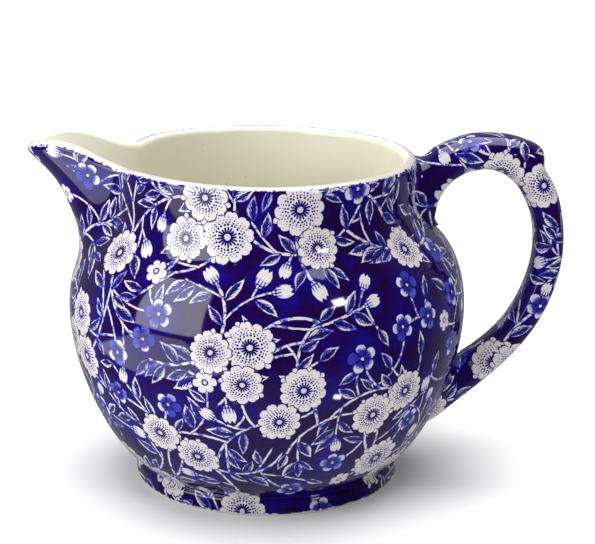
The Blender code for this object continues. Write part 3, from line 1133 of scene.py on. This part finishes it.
def print_material():
    """Cobalt ground and white flowers under the glaze."""
    material, tree, shader = new_material("blue_print_glaze")
    fine = noise(tree, 1.1, 2.0, seed=0.1)
    drift = [part - 0.5 for part in parts(tree, fine.socket.node.outputs["Color"], "Color")]
    grain = noise(tree, 2.4, 2.0, 0.6, seed=0.6)
    blotch = noise(tree, 0.55, 2.0, 0.6, seed=0.15)
    fade = blotch.ramp(0.3, 0.56) * 0.62 + 0.38

    def drawn(name, wander):
        x, y, seed = attribute(tree, name)
        return x + drift[0] * wander, y + drift[1] * wander, seed

    paint = None
    for i in range(STEM_LAYERS):
        inward, across, seed = attribute(tree, f"stem_{i}")
        mark, cover = stem(inward, across + drift[0] * 0.9, fine)
        mark = mark * fade
        paint = mark if paint is None else (paint * (1.0 - cover)).over(mark)
    for i in range(LEAF_LAYERS):
        mark, cover = leaf(*drawn(f"leaf_{i}", 0.12), grain)
        paint = cover.mix(paint, mark * fade)
    x, y, code = drawn("flower", 0.12)
    kind, seed = code.whole, code.part
    wash = (hypotenuse(x, y) + (fine - 0.5) * 0.9).ramp(1.75, 1.05)
    flowers = {PANSY: pansy(x, y, seed, grain), FLORET: floret(x, y, seed), BUD: bud(x, y, seed, grain)}
    for number, (mark, cover) in flowers.items():
        chosen = (kind - float(number)).size < 0.5
        paint = (cover * chosen).mix(paint, mark)
    for i in range(BLOSSOM_LAYERS):
        mark, cover = blossom(*drawn(f"blossom_{i}", 0.05))
        paint = cover.mix(paint, mark)

    border = attribute(tree, "border")[0]
    worn = (border + (fine - 0.5) * 1.6).ramp(0.35, 0.1)
    paint = paint.over(worn)

    slow = noise(tree, 0.11, 3.0, 0.6, seed=0.8)
    middle = noise(tree, 0.7, 3.0, 0.7, seed=0.25)
    place = tree.nodes.new("ShaderNodeTexCoord")
    across, deep, up = parts(tree, place.outputs["Object"])
    lines = 1 / (HATCH * MM)
    hatch = ((across + deep + up) * lines).sine * ((across + deep - up) * lines).sine
    lively = slow.ramp(0.48, 0.7) * 0.6 + middle.ramp(0.46, 0.72) * 0.5 + wash * 0.45
    crossed = lively + hatch * 0.12 * slow.ramp(0.45, 0.6)
    ground = mix_color(tree, crossed.math("MULTIPLY", 0.9, clamp=True), DEEP_COBALT, BRIGHT_COBALT)
    washed = mix_color(tree, paint.ramp(0.0, 0.45), ground, MID_BLUE)
    color = mix_color(tree, paint.ramp(0.4, 0.94), washed, WHITE_PRINT)
    feed(tree, color, shader.inputs["Base Color"])
    glaze_surface(tree, shader, paint)
    return material


def add_layers(made, layers, faces):
    """Stores the print's coordinates on the corners of a piece's faces."""
    for name, corners in layers.items():
        stored = made.data.attributes.new(name, "FLOAT_VECTOR", "CORNER")
        stored.data.foreach_set("vector", corners[faces].reshape(-1).astype(np.float32))


# ---------------------------------------------------------------- the pieces

# The print's sides, as the angles where each starts and ends.
SECTORS = {
    "print_front": (-140, -40),
    "print_spout": (-40, 40),
    "print_back": (40, 140),
    "print_handle_side": (140, 220),
}


def body_border(outside, angles):
    """How far inside the print's edge each vertex is: below the white band of the lip, above the foot.

    The band is 1.5 mm wide in front and at the sides; at the back the print runs on over the lip.
    """
    gaps = np.linalg.norm(np.diff(outside, axis=0), axis=2)
    below_top = np.flip(np.cumsum(np.flip(gaps, axis=0), axis=0), axis=0)
    below_top = np.concatenate([below_top, np.zeros((1, COLUMNS))])
    from_back = np.abs((np.degrees(angles) + 90) % 360 - 180)
    white_band = 2.5 * np.clip((from_back - 40) / 45, 0, 1) - 0.95
    return np.minimum(below_top - white_band, outside[..., 2] - PRINT_FOOT).reshape(-1)


def make_body(cream, printed):
    """The printed sides, and the cream lip, inside and underside."""
    grid, angles, print_from, print_to = body_grid()
    normals = grid_normals(grid)
    outside, outward = grid[print_from:print_to], normals[print_from:print_to]
    exterior = sheet_of(outside, outward)
    sheet = Printed(*exterior, seed=42)
    chance_of_more = (0.3, 0.42, 0.28)
    layers = lay_out(sheet, chance_of_more, blossoms=48, pansies=16, sprigs=5000, voids=2600)
    border = body_border(outside, angles)
    layers["border"] = np.repeat(border[exterior[2]][..., None], 3, axis=2)
    turned = np.degrees(angles)
    for name, (start, end) in SECTORS.items():
        first, last = np.searchsorted(turned, (start, end))
        if end > 180:
            last = COLUMNS + np.searchsorted(turned, end - 360)
        columns = np.arange(first, last + 1) % COLUMNS
        faces = np.arange(len(outside) - 1)[:, None] * COLUMNS + columns[None, :-1]
        made = make_piece(name, *sheet_of(outside, outward, columns), printed, "blue_print_glaze")
        add_layers(made, layers, faces.reshape(-1))
        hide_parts("body")
    plain = {"lip_and_inside": slice(print_to - 1, None), "foot_underside": slice(0, print_from + 1)}
    for name, rows in plain.items():
        made = make_piece(name, *sheet_of(grid[rows], normals[rows]), cream, "cream_glaze")
        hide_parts("body")


def make_handle(printed):
    """The printed loop, and the printed fillets that join it to the wall."""
    loop = handle_grid()
    normals = grid_normals(loop)
    sheet = Printed(*sheet_of(loop, normals), seed=5)
    chance_of_more = (0.3, 0.5, 0.2)
    layers = lay_out(sheet, chance_of_more, blossoms=9, pansies=3, sprigs=900, voids=400)
    layers["border"] = np.full((len(sheet.quads), 4, 3), FAR)
    level = np.clip(loop[..., 2].mean(axis=1), 5, 79)
    wall_gap = np.hypot(loop[..., 0], loop[..., 1]).mean(axis=1) - wall_radius(level)
    near_wall = np.flatnonzero(wall_gap < FILLET_REACH)
    upper_end = near_wall[near_wall < len(loop) / 2].max()
    lower_end = near_wall[near_wall > len(loop) / 2].min()
    for name, first, last, slot, node in (
        ("upper_root_fillet", 0, upper_end, "luting_slip", "upper_handle_joint"),
        ("handle_loop", upper_end, lower_end, "blue_print_glaze", "handle"),
        ("lower_root_fillet", lower_end, len(loop) - 1, "luting_slip", "lower_handle_joint"),
    ):
        rows = slice(first, last + 1)
        made = make_piece(name, *sheet_of(loop[rows], normals[rows]), printed, slot)
        faces = np.arange(first, last)[:, None] * HANDLE_SIDES + np.arange(HANDLE_SIDES)[None]
        add_layers(made, layers, faces.reshape(-1))
        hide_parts(node)


# ---------------------------------------------------------------- floor, light and camera

# The camera stands in front of the jug's middle, and its angles are in degrees.
FLOOR_HALF_WIDTH = 1700.0
SENSOR_WIDTH = 36.0
FOCAL_LENGTH = 98.07
CAMERA_REACH = 380.32
CAMERA_HEIGHT = 156.58
LOOKS_DOWN = 15.68
LOOKS_ASIDE = -1.068
LOOKS_UP_AGAIN = 0.041


def grey(value):
    return (value, value, value)


def floor():
    side = FLOOR_HALF_WIDTH * MM
    corners = [(-side, -side, 0), (side, -side, 0), (side, side, 0), (-side, side, 0)]
    mesh = bpy.data.meshes.new("studio_floor")
    mesh.from_pydata(corners, [], [(0, 1, 2, 3)])
    made = bpy.data.objects.new("studio_floor", mesh)
    bpy.context.scene.collection.objects.link(made)
    material, tree, shader = new_material("pale_floor")
    cloud = noise(tree, 0.004, 2.0)
    feed(tree, mix_color(tree, cloud, grey(0.86), grey(0.89)), shader.inputs["Base Color"])
    feed(tree, cloud * 0.1 + 0.75, shader.inputs["Roughness"])
    shader.inputs["Specular IOR Level"].default_value = 0.1
    mesh.materials.append(material)
    made.visible_glossy = False


def panel(name, place, toward, width, height, radiance):
    """A rectangular lamp at a place that faces another, both measured from the middle of the foot."""
    lamp = bpy.data.lights.new(name, "AREA")
    lamp.shape = "RECTANGLE"
    lamp.size = width * MM
    lamp.size_y = height * MM
    lamp.energy = radiance * math.pi * lamp.size * lamp.size_y
    made = bpy.data.objects.new(name, lamp)
    place, toward = Vector(place), Vector(toward)
    made.location = place * MM + Vector((AXIS_X * MM, 0, 0))
    made.rotation_euler = (toward - place).to_track_quat("-Z", "Y").to_euler()
    bpy.context.scene.collection.objects.link(made)


def bearing(azimuth, reach, height):
    """A place by its azimuth, from the camera's side towards the handle, its reach and its height."""
    turn = math.radians(azimuth)
    return (reach * math.sin(turn), -reach * math.cos(turn), height)


def surround():
    """A pale room that is dark in the glaze, and a little paler there behind the jug and below it."""
    world = bpy.data.worlds.new("studio")
    bpy.context.scene.world = world
    world.use_nodes = True
    tree = world.node_tree
    direction = tree.nodes.new("ShaderNodeTexCoord")
    _, deep, up = parts(tree, direction.outputs["Generated"])
    pale = (deep.ramp(-0.1, 0.8) * 0.7).over(up.ramp(-0.3, -0.85) * 0.8)
    shade = mix_color(tree, pale, grey(0.03), grey(0.36))
    path = tree.nodes.new("ShaderNodeLightPath")
    seen = mix_color(tree, Field(tree, path.outputs["Is Camera Ray"]), shade, grey(0.87))
    feed(tree, seen, tree.nodes["Background"].inputs["Color"])


def camera():
    """The camera, above the jug and looking down at it."""
    lens = bpy.data.cameras.new("camera")
    lens.sensor_width = SENSOR_WIDTH
    lens.lens = FOCAL_LENGTH
    lens.clip_start = 10 * MM
    made = bpy.data.objects.new("camera", lens)
    pitch = Matrix.Rotation(math.radians(90 - LOOKS_DOWN), 4, "X")
    aside = Matrix.Rotation(math.radians(LOOKS_ASIDE), 4, "Y")
    lift = Matrix.Rotation(math.radians(LOOKS_UP_AGAIN), 4, "X")
    place = Matrix.Translation((AXIS_X * MM, -CAMERA_REACH * MM, CAMERA_HEIGHT * MM))
    made.matrix_world = place @ pitch @ aside @ lift
    bpy.context.scene.collection.objects.link(made)
    bpy.context.scene.camera = made


printed = print_material()
make_body(cream_material(), printed)
make_handle(printed)

floor()
# Each lamp's place, the place it faces, its width and height, and its radiance.
panel("left_softbox", bearing(-56, 750, 340), (0, 0, 340), 560, 640, 4.4)
panel("left_bounce", bearing(-56, 275, 3), bearing(-56, 274, 400), 170, 350, 1.8)
panel("overhead", (0, 250, 2200), (0, 250, 0), 2600, 2900, 4.1)
panel("right_lamp", bearing(44, 790, 480), (0, 0, 45), 110, 110, 28)
panel("right_glint", (42, -70, 3), (15, -45, 34), 5, 3, 20)
surround()
bpy.context.scene.view_settings.view_transform = "Standard"
bpy.context.scene.view_settings.look = "None"
camera()
